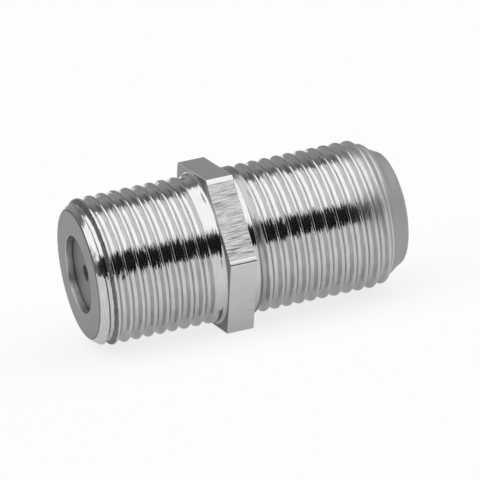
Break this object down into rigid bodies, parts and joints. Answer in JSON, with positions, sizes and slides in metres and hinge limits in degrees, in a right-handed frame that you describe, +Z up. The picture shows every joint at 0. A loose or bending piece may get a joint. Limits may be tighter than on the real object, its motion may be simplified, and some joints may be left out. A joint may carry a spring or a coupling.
{
  "type": "f connector coupler",
  "caption": "Nickel-plated barrel coupler with a male-threaded socket at each end and a thin hexagonal flange, for joining two screw-on coaxial cable plugs.",
  "frame": {"origin": "on the axis, in the middle of the near mouth, in the plane of the flat near end face", "axes": "+X along the axis from the near face to the rolled far end, +Z up and square to a pair of hex flats, so that two hex corners point along Y"},
  "size_m": [0.021, 0.0116, 0.01],
  "materials": {
    "nickel_plate": "bright nickel plate over turned brass",
    "insulator_plastic": "moulded, matte",
    "contact_metal": "stamped spring sheet"
  },
  "bodies": {
    "root": {"body": "nickel_plate", "front_insulator": "insulator_plastic", "rear_insulator": "insulator_plastic", "centre_contact": "contact_metal"}
  },
  "joints": []
}
